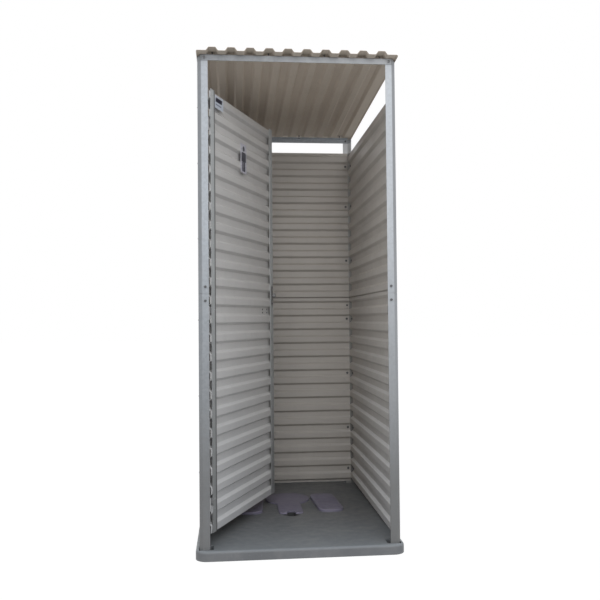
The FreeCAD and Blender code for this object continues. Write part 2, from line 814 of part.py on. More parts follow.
def sheet_spans():
    return (("lower", WALL_BOTTOM, LOWER_SHEET_TOP, LOWER_CREST_Z),
            ("upper", UPPER_SHEET_BOTTOM, WALL_TOP, UPPER_CREST_Z))


def make_side_sheet(sign, z0, z1, crest):
    """Inward crests face the cabin; the troughs seat on the posts' side flanges."""
    front, back = side_sheet_ends()
    sheet = corrugated(z0, z1, crest, back - front)
    # Local X is up, local Y is outward; the width then runs along Y.
    inner = sign * (WALL_FACE_X - WAVE_DEPTH)
    outward = Vector(sign, 0, 0)
    width = Vector(0, 0, 1).cross(outward)
    start = front if width.y > 0 else back
    sheet = place(sheet, Vector(0, 0, 1), outward, Vector(inner, start, 0))
    tools = []
    for z in screw_levels():
        if z0 < z < z1:
            for y in side_screw_ys():
                begin = Vector(inner, y, z)
                tools.append(rod(WALL_SCREW_R, begin, begin + outward * (WAVE_DEPTH + 5)))
    return cut_all(sheet, tools)


def side_screw_ys():
    return (FRONT_Y + side_screw_inset(-1), BACK_Y - side_screw_inset(1))


def make_back_sheet(z0, z1, crest):
    half = back_sheet_half()
    sheet = corrugated(z0, z1, crest, 2 * half)
    outward = Vector(0, 1, 0)
    # Up crossed with the outward direction gives -X.
    sheet = place(sheet, Vector(0, 0, 1), outward, Vector(half, WALL_FACE_Y - WAVE_DEPTH, 0))
    tools = []
    for z in screw_levels():
        if z0 < z < z1:
            for x in (-POST_X + back_screw_inset(), POST_X - back_screw_inset()):
                begin = Vector(x, WALL_FACE_Y - WAVE_DEPTH, z)
                tools.append(rod(WALL_SCREW_R, begin, begin + outward * (WAVE_DEPTH + 5)))
    level = POST_SEAM_Z - SPLICE_BOLT_OFFSET
    if z0 < level < z1:
        for x in (-POST_X + FLAT_MID, POST_X - FLAT_MID):
            begin = Vector(x, WALL_FACE_Y - WAVE_DEPTH, level)
            tools.append(rod(M6_R + HOLE_CLEAR, begin, begin + outward * (WAVE_DEPTH + 5)))
    return cut_all(sheet, tools)


def wall_screw(seat, direction, grip):
    """Washer-head screw: seat is the sheet face under the washer."""
    washer = rod(WALL_SCREW_WASHER_R, seat - direction * WALL_SCREW_WASHER_T, seat)
    back = seat - direction * (WALL_SCREW_WASHER_T + WALL_SCREW_HEAD)
    head = hexagon(WALL_SCREW_AF, WALL_SCREW_HEAD, back, direction)
    end = seat + direction * grip
    shank = rod(WALL_SCREW_R, seat, end)
    tip = Part.makeCone(WALL_SCREW_R, WALL_SCREW_TIP_R, WALL_SCREW_TIP, end, direction)
    return washer.fuse(head).fuse(shank).fuse(tip).removeSplitter()


def make_wall_screws():
    screws = []
    for z in screw_levels():
        for _, sign in sides():
            outward = Vector(sign, 0, 0)
            for y in side_screw_ys():
                seat = Vector(sign * (WALL_FACE_X - SHEET_T), y, z)
                screws.append(wall_screw(seat, outward, SHEET_T + POST_T))
            seat = Vector(sign * (POST_X - back_screw_inset()), WALL_FACE_Y - SHEET_T, z)
            screws.append(wall_screw(seat, Vector(0, 1, 0), SHEET_T + POST_T))
    return screws


# Roof


def roof_crests():
    """Crest positions that carry a screw: every third crest over the rails, and the last."""
    reach = POST_X - ROOF_SCREW_SIDE_INSET
    first = math.ceil((-reach - ROOF_CREST_X) / PITCH)
    last = math.floor((reach - ROOF_CREST_X) / PITCH)
    crests = [ROOF_CREST_X + k * PITCH for k in range(first, last + 1)]
    return sorted(set(crests[::ROOF_SCREW_COUNT] + crests[-1:]))


def roof_axes():
    back = Vector(0, math.cos(math.radians(ROOF_TILT)), -math.sin(math.radians(ROOF_TILT)))
    up = Vector(0, -back.z, back.y)
    return back, up


def roof_screw_seat(x, end_sign):
    """Top of a crest over the middle of a rail's upper leg."""
    back, up = roof_axes()
    if end_sign < 0:
        y = FRONT_Y - RAIL_T + RAIL_LEG / 2 + 1
    else:
        y = BACK_Y - POST_T - RAIL_LEG / 2
    return Vector(x, y, roof_underside(y)) + up * WAVE_DEPTH


def roof_screw_holes(end_sign):
    _, up = roof_axes()
    tools = []
    for x in roof_crests():
        seat = roof_screw_seat(x, end_sign)
        tools.append(rod(WALL_SCREW_R, seat + up * 3, seat - up * (WAVE_DEPTH + 8)))
    return tools


def roof_section():
    """Wave across the roof; past its last whole troughs it runs flat to a lip turned down."""
    edge = POST_X + ROOF_OVERHANG_X
    reach = edge - WAVE_FLAT / 2
    first = math.ceil((-reach - ROOF_CREST_X) / PITCH + 0.5) - 0.5
    last = math.floor((reach - ROOF_CREST_X) / PITCH - 0.5) + 0.5
    path = wave_points(ROOF_CREST_X + first * PITCH, ROOF_CREST_X + last * PITCH, ROOF_CREST_X)
    floor = WAVE_DEPTH - SHEET_T
    left = [Vector(-edge, floor + ROOF_LIP_H, 0), Vector(-edge, floor, 0)]
    right = [Vector(edge, floor, 0), Vector(edge, floor + ROOF_LIP_H, 0)]
    return strip_face(left + path[1:-1] + right, SHEET_T, WAVE_BEND_R)


def make_roof():
    back, up = roof_axes()
    length = (FRAME_D + 2 * ROOF_OVERHANG_Y) / back.y
    sheet = roof_section().extrude(Vector(0, 0, length))
    # Local Y is the wave's depth from crest to trough, so it points down.
    y0 = FRONT_Y - ROOF_OVERHANG_Y
    origin = Vector(0, y0, roof_underside(y0)) + up * WAVE_DEPTH
    width = Vector(1, 0, 0).cross(up * -1)
    if width.y < 0:
        origin = origin + back * length
    sheet = place(sheet, Vector(1, 0, 0), up * -1, origin)
    return cut_all(sheet, roof_screw_holes(-1) + roof_screw_holes(1))


def make_roof_screws():
    screws = []
    seals = []
    _, up = roof_axes()
    down = up * -1
    for end_sign in (-1, 1):
        for x in roof_crests():
            seat = roof_screw_seat(x, end_sign)
            seal = rod(SEAL_R, seat, seat + up * SEAL_T)
            seal = seal.cut(rod(WALL_SCREW_R, seat - up, seat + up * (SEAL_T + 1)))
            seals.append(seal)
            screws.append(wall_screw(seat + up * SEAL_T, down, SEAL_T + WAVE_DEPTH + RAIL_T))
    return screws, seals


# Door, modelled shut and then swung open about the hinge axis


def swing(shape):
    turned = shape.copy()
    turned.rotate(Vector(HINGE_X, HINGE_Y, 0), Vector(0, 0, 1), DOOR_OPEN_DEG)
    return turned


def door_rib_z(index):
    """Height of a door trough, seen from outside; they count from the lowest."""
    return DOOR_CREST_Z + PITCH / 2 + index * PITCH


def hinge_ribs():
    """Troughs that hold the lowest, the middle and the highest hinge."""
    first = door_rib_z(0)
    low = math.ceil((DOOR_BOTTOM + HINGE_END_INSET - first) / PITCH)
    high = math.floor((DOOR_TOP - HINGE_END_INSET - first) / PITCH)
    return low, middle_rib(), high


def middle_rib():
    """Trough whose hinge knuckle comes next below the splice plates."""
    highest = POST_SEAM_Z - SPLICE_H / 2 - SPLICE_HINGE_GAP - HINGE_KNUCKLE_H + HINGE_LEAF_H / 2
    return math.floor((highest - door_rib_z(0)) / PITCH)


def door_rivet_levels(index):
    """Crests that carry a rivet, for the hinge stile (0) or the latch stile (1)."""
    levels = crests_between(DOOR_BOTTOM + PITCH / 4, DOOR_TOP - PITCH / 4)[::2]
    if index == 1:
        taken = [z for _, z in knob_rivet_points()]
        levels = [z for z in levels if min(abs(z - t) for t in taken) > PITCH / 4]
    return levels


def stile_spans():
    hinge_edge = DOOR_X + HINGE_STILE_INSET
    free_edge = DOOR_X + DOOR_W
    return (hinge_edge, hinge_edge + STILE_W), (free_edge - STILE_W, free_edge)


def door_rivet_points():
    points = []
    for index, (x0, x1) in enumerate(stile_spans()):
        for z in door_rivet_levels(index):
            points.append(((x0 + x1) / 2, z))
    return points


def plate_rivet_points():
    """Rivets of the two plates, where a door crest lies under a plate's edge."""
    points = []
    for u, width, bottom, height in (sign_place(), label_place()):
        mid = DOOR_X + u + width / 2
        levels = crests_between(bottom + PLATE_EDGE_INSET, bottom + height - PLATE_EDGE_INSET)
        for z in levels:
            for dx in (-1, 1):
                points.append((mid + dx * (width / 2 - PLATE_EDGE_INSET), z))
    return points


def sign_place():
    return SIGN_U, SIGN_W, DOOR_TOP - SIGN_DROP, SIGN_H


def label_place():
    return LABEL_U, LABEL_W, DOOR_TOP - LABEL_DROP - LABEL_H, LABEL_H


def crests_between(z0, z1):
    found = []
    k = math.ceil((z0 - DOOR_CREST_Z) / PITCH)
    while DOOR_CREST_Z + k * PITCH <= z1:
        found.append(DOOR_CREST_Z + k * PITCH)
        k += 1
    return found


def hole_y(x, z, radius, y0, y1):
    return rod(radius, Vector(x, y0, z), Vector(x, y1, z))


def knob_x():
    return DOOR_X + DOOR_W - STILE_W / 2


def knob_z():
    """The trough above the middle hinge, so that the knob's nut has room behind the stile."""
    return door_rib_z(middle_rib() + 1)


def knob_rivet_points():
    """The crests above and below the knob."""
    return [(knob_x(), knob_z() + step * PITCH / 2) for step in (-1, 1)]


def bolt_z():
    return door_rib_z(middle_rib())


def bolt_case_end():
    """Latch end of the slide bolt's case."""
    return DOOR_X + DOOR_W - BOLT_CASE_END


def case_rivet_points():
    return [(bolt_case_end() - dx, bolt_z() + dz) for dx in BOLT_RIVET_X
            for dz in (-BOLT_RIVET_Z, BOLT_RIVET_Z)]


def hinge_rivet_points():
    x0 = stile_spans()[0][0]
    return [(x0 + inset, door_rib_z(rib)) for rib in hinge_ribs() for inset in HINGE_RIVET_INSETS]


def make_stile(index):
    x0, x1 = stile_spans()[index]
    bar = box(x0, x1, DOOR_Y, DOOR_Y + STILE_T, DOOR_BOTTOM, DOOR_TOP)
    tools = []
    near = DOOR_Y - 1
    far = DOOR_Y + STILE_T + 1
    for x, z in door_rivet_points():
        if x0 < x < x1:
            tools.append(hole_y(x, z, RIVET_R, near, far))
    extra = hinge_rivet_points() if index == 0 else knob_rivet_points()
    for x, z in extra:
        tools.append(hole_y(x, z, RIVET_R, near, far))
    if index == 1:
        tools.append(hole_y(knob_x(), knob_z(), M6_R + HOLE_CLEAR, near, far))
    return cut_all(bar, tools)


def make_door_sheet():
    sheet = corrugated(DOOR_BOTTOM, DOOR_TOP, DOOR_CREST_Z, DOOR_W)
    # Local X is up and local Y is inward, so the width runs along -X.
    sheet = place(sheet, Vector(0, 0, 1), Vector(0, 1, 0),
                  Vector(DOOR_X + DOOR_W, DOOR_SHEET_Y, 0))
    tools = []
    near = DOOR_SHEET_Y - 1
    for x, z in door_rivet_points() + plate_rivet_points() + knob_rivet_points():
        tools.append(hole_y(x, z, RIVET_R, near, near + SHEET_T + 3))
    for x, z in case_rivet_points():
        tools.append(hole_y(x, z, RIVET_R, near, DOOR_TROUGH_Y + 3))
    return cut_all(sheet, tools)


def rivet(x, z, front, back):
    """Blind rivet through y front to back, with a low head on each side."""
    shank = hole_y(x, z, RIVET_R, front, back)
    head = hole_y(x, z, RIVET_HEAD_R, front - RIVET_HEAD_T, front)
    edge = [e for e in head.Edges if abs(e.BoundBox.YMin - (front - RIVET_HEAD_T)) < 1e-4
            and abs(e.BoundBox.YMax - (front - RIVET_HEAD_T)) < 1e-4]
    head = head.makeFillet(RIVET_HEAD_T * 0.7, edge)
    tail = hole_y(x, z, RIVET_TAIL_R, back, back + RIVET_HEAD_T)
    return shank.fuse(head).fuse(tail).removeSplitter()


def make_door_rivets():
    rivets = []
    for x, z in door_rivet_points():
        rivets.append(rivet(x, z, DOOR_Y, DOOR_SHEET_Y + SHEET_T))
    for x, z in hinge_rivet_points():
        rivets.append(rivet(x, z, DOOR_Y, DOOR_Y + STILE_T + HINGE_LEAF_T))
    return rivets


def make_plate_rivets():
    rivets = []
    for x, z in plate_rivet_points():
        rivets.append(rivet(x, z, DOOR_SHEET_Y - SIGN_T, DOOR_SHEET_Y + SHEET_T))
    return rivets


def make_plate(place):
    u, width, z0, height = place
    x0 = DOOR_X + u
    block = box(x0, x0 + width, DOOR_SHEET_Y - SIGN_T, DOOR_SHEET_Y, z0, z0 + height)
    across = [e for e in block.Edges if abs(e.tangentAt(e.FirstParameter).y) > 0.9]
    block = block.makeFillet(PLATE_CORNER_R, across)
    tools = []
    for x, z in plate_rivet_points():
        if x0 < x < x0 + width and z0 < z < z0 + height:
            tools.append(hole_y(x, z, RIVET_R, DOOR_SHEET_Y - SIGN_T - 1, DOOR_SHEET_Y + 1))
    return cut_all(block, tools)


def leaf_bottom(rib):
    return door_rib_z(rib) - HINGE_LEAF_H / 2


def make_hinge_leaf(rib):
    """Door half: knuckle over the post's half, with a leaf in the trough behind the stile."""
    z0 = leaf_bottom(rib)
    barrel = Part.makeCylinder(HINGE_BARREL_R, HINGE_KNUCKLE_H, Vector(HINGE_X, HINGE_Y, z0))
    y0 = DOOR_Y + STILE_T
    end = stile_spans()[0][0] + HINGE_LEAF_BITE
    leaf = box(HINGE_X, end, y0, y0 + HINGE_LEAF_T, z0, z0 + HINGE_LEAF_H)
    body = barrel.fuse(leaf)
    tools = [Part.makeCylinder(HINGE_PIN_R + HINGE_RUN_CLEAR, HINGE_KNUCKLE_H + 2,
                               Vector(HINGE_X, HINGE_Y, z0 - 1))]
    for x, level in hinge_rivet_points():
        if z0 < level < z0 + HINGE_LEAF_H:
            tools.append(hole_y(x, level, RIVET_R, y0 - 1, y0 + HINGE_LEAF_T + 1))
    return body.cut(Part.makeCompound(tools)).removeSplitter()


def make_hinge_bracket(rib):
    """Post half: the lower knuckle, on a plate against the back of the front flange."""
    z1 = leaf_bottom(rib) - HINGE_GAP
    z0 = z1 - HINGE_KNUCKLE_H
    barrel = Part.makeCylinder(HINGE_BARREL_R, z1 - z0, Vector(HINGE_X, HINGE_Y, z0))
    y0 = FRONT_Y + POST_T
    plate = box(-POST_X + POST_FLAT_START + BEND_CLEAR, HINGE_X, y0, y0 + HINGE_LEAF_T, z0, z1)
    body = barrel.fuse(plate)
    bore = Part.makeCylinder(HINGE_PIN_R, z1 - z0 + 2, Vector(HINGE_X, HINGE_Y, z0 - 1))
    return body.cut(bore).removeSplitter()


def make_hinge_pin(rib):
    bottom = leaf_bottom(rib) - HINGE_GAP - HINGE_KNUCKLE_H
    height = 2 * HINGE_KNUCKLE_H + HINGE_GAP
    return Part.makeCylinder(HINGE_PIN_R, height, Vector(HINGE_X, HINGE_Y, bottom))


def make_knob():
    """Turned knob; its stud passes the plate and the latch stile and takes a nut."""
    x = knob_x()
    z = knob_z()
    face = DOOR_Y - KNOB_PLATE_T
    neck = hole_y(x, z, KNOB_NECK_R, face - KNOB_H + KNOB_HEAD_H / 2, face)
    head = hole_y(x, z, KNOB_HEAD_R, face - KNOB_H, face - KNOB_H + KNOB_HEAD_H)
    rims = [e for e in head.Edges if e.BoundBox.YLength < 1e-4]
    head = head.makeFillet(KNOB_EDGE_R, rims)
    stud = hole_y(x, z, M6_R, face, DOOR_Y + STILE_T + M6_NUT + 1)
    return neck.fuse([head, stud]).removeSplitter()


def make_knob_nut():
    return nut(Vector(knob_x(), DOOR_Y + STILE_T, knob_z()), Vector(0, 1, 0))


def make_knob_plate():
    x = knob_x()
    z = knob_z()
    half_w = KNOB_PLATE_W / 2
    half_h = KNOB_PLATE_H / 2
    face = DOOR_Y - KNOB_PLATE_T
    block = box(x - half_w, x + half_w, face, DOOR_Y, z - half_h, z + half_h)
    across = [e for e in block.Edges if abs(e.tangentAt(e.FirstParameter).y) > 0.9]
    block = block.makeFillet(PLATE_CORNER_R, across)
    tools = [hole_y(x, z, M6_R + HOLE_CLEAR, face - 1, DOOR_Y + 1)]
    for px, pz in knob_rivet_points():
        tools.append(hole_y(px, pz, RIVET_R, face - 1, DOOR_Y + 1))
    return cut_all(block, tools)


def make_knob_rivets():
    return [rivet(x, z, DOOR_Y - KNOB_PLATE_T, DOOR_SHEET_Y + SHEET_T)
            for x, z in knob_rivet_points()]


# Slide bolt


def bolt_y():
    """The bolt runs behind the door's troughs."""
    return DOOR_TROUGH_Y + BOLT_CASE_BASE_T + BOLT_FLOOR_GAP + BOLT_R


def make_bolt_case():
    end = bolt_case_end()
    start = end - BOLT_CASE_L
    z0 = bolt_z() - BOLT_CASE_H / 2
    z1 = z0 + BOLT_CASE_H
    y0 = DOOR_TROUGH_Y
    y1 = bolt_y() + BOLT_R + BOLT_GUIDE_TOP
    base = box(start, end, y0, y0 + BOLT_CASE_BASE_T, z0, z1)
    guides = []
    for x in (end, end - BOLT_GUIDE_BACK):
        guides.append(box(x - BOLT_GUIDE_L, x, y0, y1, z0, z1))
    case = base.fuse(guides)
    tools = [rod(BOLT_R + BOLT_CASE_CLEAR, Vector(start - 1, bolt_y(), bolt_z()),
                 Vector(end + 1, bolt_y(), bolt_z()))]
    for x, z in case_rivet_points():
        tools.append(hole_y(x, z, RIVET_R, y0 - 1, y0 + BOLT_CASE_BASE_T + 1))
    return case.cut(Part.makeCompound(tools)).removeSplitter()


def make_bolt_rivets():
    rivets = []
    for x, z in case_rivet_points():
        y0 = DOOR_TROUGH_Y - SHEET_T
        rivets.append(rivet(x, z, y0, DOOR_TROUGH_Y + BOLT_CASE_BASE_T))
    return rivets


def make_slide_bolt():
    """Drawn back: its tip is a little inside the case's end."""
    tip = bolt_case_end() - BOLT_REST_BACK
    z = bolt_z()
    y = bolt_y()
    body = rod(BOLT_R, Vector(tip - BOLT_L, y, z), Vector(tip, y, z))
    ends = [e for e in body.Edges if e.Length > BOLT_R and abs(e.BoundBox.XLength) < 1e-4]
    body = body.makeChamfer(BOLT_CHAMFER, ends)
    grip_x = bolt_case_end() - BOLT_GRIP_BACK
    grip_end = Vector(grip_x, y + BOLT_R + BOLT_GRIP_L, z)
    grip = rod(BOLT_GRIP_R, Vector(grip_x, y, z), grip_end)
    return body.fuse([grip, Part.makeSphere(BOLT_GRIP_END_R, grip_end)]).removeSplitter()


def make_keeper():
    """Bracket on the right post that takes the bolt when the door is shut."""
    z = bolt_z()
    y = bolt_y()
    half = KEEPER_W / 2
    x_flange = POST_X - POST_BEVEL - KEEPER_BEVEL_GAP
    y0 = FRONT_Y + POST_T
    plate_x = DOOR_X + DOOR_W + KEEPER_DOOR_GAP
    foot = box(plate_x, x_flange, y0, y0 + KEEPER_T, z - half, z + half)
    arm = box(plate_x, plate_x + KEEPER_T, y0, y + BOLT_R + KEEPER_TOP, z - half, z + half)
    keeper = foot.fuse(arm).removeSplitter()
    hole = rod(BOLT_R + KEEPER_CLEAR, Vector(plate_x - 5, y, z), Vector(plate_x + 10, y, z))
    return keeper.cut(hole)


def base_parts():
    parts = {"base_slab": make_slab()}
    for side, sign in sides():
        parts[f"footrest_{side}"] = make_footrest(sign)
    parts["footrest_screws"] = make_footrest_screws()
    parts["drop_hole_lid"] = make_lid()
    return parts


def frame_parts():
    parts = {}
    for name, side_sign, end_sign in corners():
        spans = (("lower", POCKET_Z, POST_SEAM_Z - SEAM_GAP / 2),
                 ("upper", POST_SEAM_Z + SEAM_GAP / 2, post_top(end_sign)))
        for half, z0, z1 in spans:
            parts[f"post_{name}_{half}"] = make_post(side_sign, end_sign, z0, z1)
        parts[f"splice_plate_{name}"] = make_splice(side_sign, end_sign)
        parts[f"foot_cleat_{name}"] = make_cleat(side_sign, end_sign)
    parts.update(make_frame_bolts())
    parts["front_top_rail"] = make_front_rail()
    parts["back_top_rail"] = make_back_rail()
    return parts


def wall_parts():
    parts = {}
    for half, z0, z1, crest in sheet_spans():
        for side, sign in sides():
            parts[f"{side}_wall_sheet_{half}"] = make_side_sheet(sign, z0, z1, crest)
        parts[f"back_wall_sheet_{half}"] = make_back_sheet(z0, z1, crest)
    parts["wall_screws"] = make_wall_screws()
    return parts


def roof_parts():
    screws, seals = make_roof_screws()
    return {"roof_sheet": make_roof(), "roof_screws": screws, "roof_seal_washers": seals}


def door_parts():
    """The leaf and what it carries, swung open, with what carries it on the posts."""
    leaf = {
        "door_sheet": make_door_sheet(),
        "door_hinge_stile": make_stile(0),
        "door_latch_stile": make_stile(1),
        "door_rivets": make_door_rivets(),
        "hinge_leaves": [make_hinge_leaf(rib) for rib in hinge_ribs()],
        "door_knob": make_knob(),
        "knob_plate": make_knob_plate(),
        "knob_nut": make_knob_nut(),
        "knob_rivets": make_knob_rivets(),
        "sign_plate": make_plate(sign_place()),
        "blank_label": make_plate(label_place()),
        "plate_rivets": make_plate_rivets(),
        "slide_bolt_case": make_bolt_case(),
        "bolt_case_rivets": make_bolt_rivets(),
        "slide_bolt": make_slide_bolt(),
    }
    parts = {}
    for name, shape in leaf.items():
        solids = shape if isinstance(shape, list) else [shape]
        parts[name] = [swing(solid) for solid in solids]
    parts["hinge_brackets"] = [make_hinge_bracket(rib) for rib in hinge_ribs()]
    parts["hinge_pins"] = [make_hinge_pin(rib) for rib in hinge_ribs()]
    parts["bolt_keeper"] = make_keeper()
    return parts


def build():
    return {**base_parts(), **frame_parts(), **wall_parts(), **roof_parts(), **door_parts()}


def main():
    os.makedirs("parts", exist_ok=True)
    for name, shape in build().items():
        if isinstance(shape, list):
            shape = Part.makeCompound(shape)
        shape.exportStep(os.path.join("parts", f"{name}.step"))
        bounds = shape.BoundBox
        print(name, len(shape.Solids), shape.isValid(),
              round(bounds.XMin, 1), round(bounds.XMax, 1), round(bounds.YMin, 1),
              round(bounds.YMax, 1), round(bounds.ZMin, 1), round(bounds.ZMax, 1))


main()
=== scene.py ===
import json
import math

import bmesh
import bpy
from mathutils import Matrix, Vector


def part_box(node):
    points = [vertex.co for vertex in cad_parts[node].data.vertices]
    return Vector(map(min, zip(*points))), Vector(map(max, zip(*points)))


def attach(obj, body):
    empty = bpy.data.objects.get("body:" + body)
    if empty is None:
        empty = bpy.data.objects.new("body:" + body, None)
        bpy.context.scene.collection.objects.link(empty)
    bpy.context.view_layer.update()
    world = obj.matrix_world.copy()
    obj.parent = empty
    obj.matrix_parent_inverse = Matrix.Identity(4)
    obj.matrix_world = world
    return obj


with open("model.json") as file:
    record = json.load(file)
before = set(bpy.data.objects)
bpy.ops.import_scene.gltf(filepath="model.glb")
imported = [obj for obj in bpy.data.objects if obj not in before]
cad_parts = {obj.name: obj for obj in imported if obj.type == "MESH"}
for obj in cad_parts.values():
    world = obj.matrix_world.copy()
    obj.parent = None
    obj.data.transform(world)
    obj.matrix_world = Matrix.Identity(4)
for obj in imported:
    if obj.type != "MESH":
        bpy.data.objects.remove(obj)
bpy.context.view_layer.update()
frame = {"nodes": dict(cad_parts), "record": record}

MM = 0.001

# Camera of the photograph
CAMERA_PLACE = Vector((-0.2754, -3.5346, 0.9508))
CAMERA_YAW = math.radians(5.368)
CAMERA_PITCH = math.radians(1.47)
CAMERA_ROLL = math.radians(-0.505)
FOCAL_PIXELS = 735.354
IMAGE_PIXELS = 600
SENSOR = 36.0

# Places read from the frame; the door's hinge axis runs through the middle of the pins
PINS_LOW, PINS_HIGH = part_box("hinge_pins")
HINGE_PLACE = (PINS_LOW + PINS_HIGH) / 2
POST_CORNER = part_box("post_back_right_lower")[1]
DECK_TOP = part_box("base_slab")[1].z
LID_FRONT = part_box("drop_hole_lid")[0].y
BACK_WALL_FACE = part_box("back_wall_sheet_upper")[0].y
WALL_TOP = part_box("back_wall_sheet_upper")[1].z
BACK_RAIL_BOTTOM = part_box("back_top_rail")[0].z

# The door: how far it stands open at rest, the directions from hinge to latch and out of its
# outer face, and how far from the hinge axis the hinge stile ends
DOOR_OPEN = math.radians(66.5)
DOOR_ALONG = Vector((math.cos(DOOR_OPEN), math.sin(DOOR_OPEN), 0))
DOOR_OUTWARD = Vector((math.sin(DOOR_OPEN), -math.cos(DOOR_OPEN), 0))
STILE_EDGE = 0.058

# Frame posts, seen from above: the bevel's reach, and the sheet's thickness
BEVEL_REACH = 0.014
STEEL_T = 0.0025

# Where dust, dirt, painted shade and painted light begin and end, in metres: heights along Z,
# sides along X to the right, and depths along Y to the back
DUST_HEIGHTS = (0.05, 0.55)
# Painted shade low on the back wall and in the back corners
BACK_SHADE_HEIGHTS = (0.85, 1.30)
CORNER_SHADE_SIDES = (0.300, 0.395)
CORNER_SHADE_WRAP = 0.0175
# A greyer, bluer tone low down and towards the front
GREYER_HEIGHTS = (0.1, 1.0)
GREYER_DEPTHS = (-0.3, 0.5)
# Painted light on the ribs' upper slopes
SLOPE_LIGHT_HEIGHTS = (0.15, 1.10)
SLOPE_LIGHT_SIDES = (0.05, 0.36)
SLOPE_LIGHT_DEPTHS = (0.40, 0.54)
STILE_SOIL_HEIGHTS = (0.05, 1.30)
# Painted shadow line along the hinge stile's inner edge
STILE_SHADOW_FADE = (STILE_EDGE - 0.011, STILE_EDGE - 0.008)
STILE_SHADOW_END = STILE_EDGE + 0.010
# Painted light on the zinc towards the right
ZINC_LIGHT_SIDES = (-0.2, 0.4)
# Painted shade on the zinc towards the ground
POST_SHADE_HEIGHTS = (0.3, 1.3)
# Painted shade on the posts' bevels
BEVEL_SHADE_HEIGHTS = (0.7, 1.3)
BEVEL_FADE = (BEVEL_REACH + 0.001, BEVEL_REACH + 0.003)
# The right posts darker low down
LOW_RIGHT_HEIGHTS = (0.10, 0.42)
LOW_RIGHT_SIDES = (0.0, 0.3)
# Painted highlight at the posts' feet
FOOT_HEIGHTS = (DECK_TOP - 0.003, DECK_TOP + 0.005)
# Dirt with painted shade in patches low on the zinc
POST_GRIME_AND_SHADE_HEIGHTS = (0.03, 0.60)
# Painted light on the deck towards the doorway
DECK_LIGHT_DEPTHS = (-0.62, -0.10)
DECK_FACE_HEIGHTS = (DECK_TOP - 0.010, DECK_TOP - 0.002)
SCOOP_PLACE = (0, LID_FRONT, DECK_TOP - 0.010)
# Painted shade in the finger scoop
SCOOP_SHADE_RADII = (0.034, 0.046)

# How strongly painted shade darkens the back posts behind the walls' ends
POST_SHADE_STRENGTH = 0.75

# Printing on the door's two plates: thickness, and points (x, z) in mm from a plate's centre.
# The head is a circle: x, z and radius.
INK_T = 0.25
PLATE_T = 1.5 * MM
FIGURE_HEAD = (0, 44, 12)
FIGURE_BODY = ((-19, 28), (19, 28), (25, 22), (25, -14), (16, -14), (16, -58), (2, -58),
               (2, -14), (-2, -14), (-2, -58), (-16, -58), (-16, -14), (-25, -14), (-25, 22))
BAND = ((-36, 18), (30, 18), (24, 0), (-36, 0))
LINE = ((-36, -8), (20, -8), (20, -14), (-36, -14))

# Soft sky light: its mean strength, and how much it grows towards the right, front and top
SKY_STRENGTH = 0.78
SKY_TILT = (0.06, -0.28, 0.06)
SKY_COLOR = (0.93, 0.96, 1.0, 1)

# Two soft lamps in front of the doorway: sizes in metres, powers in watts
LAMPS = {
    "key": {"place": (-0.3, -3.4, 3.2), "aim": (0.0, -0.3, 1.3), "size": 3.0, "power": 30,
            "color": (1.0, 0.985, 0.96)},
    "fill": {"place": (1.0, -3.7, 2.9), "aim": (0.3, -0.4, 1.3), "size": 2.2, "power": 16,
             "color": (0.95, 0.98, 1.0)},
}

# The floor: grey as a reflector of light, and nearly white glow where it is seen
FLOOR_SIZE = 60
FLOOR_GREY = (0.55, 0.55, 0.55, 1)
FLOOR_GLOW = 1.1
FLOOR_GLOW_SHARE = 0.88

# Colours of materials, linear
SHEET = (0.60, 0.56, 0.515, 1)
ROOF = (0.63, 0.545, 0.452, 1)
DOOR = (0.585, 0.570, 0.555, 1)
STILE = (0.45, 0.46, 0.46, 1)
ZINC = (0.40, 0.425, 0.455, 1)
# A shaded copy of the zinc: painted shade on the front rail
RAIL_SHADED_ZINC = (0.265, 0.275, 0.29, 1)
# Zinc colour for painted light
PAINTED_LIGHT_ZINC = (0.78, 0.79, 0.80, 1)
FITTING = (0.36, 0.36, 0.365, 1)
FASTENER = (0.13, 0.13, 0.135, 1)
SLAB = (0.150, 0.155, 0.162, 1)
# Slab colour for painted light on the deck's front
SLAB_PAINTED_LIGHT = (0.26, 0.285, 0.305, 1)
FOOTREST = (0.20, 0.185, 0.25, 1)
RUBBER = (0.02, 0.02, 0.021, 1)
SIGN = (0.50, 0.49, 0.55, 1)
LABEL = (0.55, 0.59, 0.66, 1)
INK = (0.012, 0.014, 0.035, 1)
GREY_INK = (0.22, 0.25, 0.32, 1)

# Colours of dust, dirt, painted shade and painted light, linear
SHEET_DUST = (0.30, 0.29, 0.275, 1)
# Painted shade on the back wall and in its corners
BACK_PAINTED_SHADE = (0.24, 0.225, 0.205, 1)
# Greyer, bluer tone low down at the front
GREYER_BLUE = (0.51, 0.525, 0.55, 1)
# Painted light on the ribs' upper slopes
SLOPE_PAINTED_LIGHT = (0.86, 0.86, 0.86, 1)
STILE_SOIL = (0.12, 0.12, 0.12, 1)
# Painted shadow along the hinge stile's edge
STILE_EDGE_SHADOW = (0.07, 0.07, 0.07, 1)
ZINC_BLOOM = (0.50, 0.51, 0.525, 1)
# Painted shade on the zinc low down
POST_PAINTED_SHADE = (0.12, 0.118, 0.115, 1)
# Painted shade on the posts' bevels
BEVEL_PAINTED_SHADE = (0.13, 0.13, 0.13, 1)
# Painted shade on the back posts behind the walls' ends
BACK_POST_PAINTED_SHADE = (0.40, 0.385, 0.36, 1)
# Darker tone low on the right posts
LOW_RIGHT_DARK = (0.10, 0.097, 0.09, 1)
# Dirt and painted shade low on the zinc
POST_GRIME_AND_SHADE = (0.15, 0.145, 0.14, 1)
DRIED_DUST = (0.36, 0.345, 0.32, 1)
# Painted shade in the finger scoop
SCOOP_PAINTED_SHADE = (0.03, 0.03, 0.03, 1)

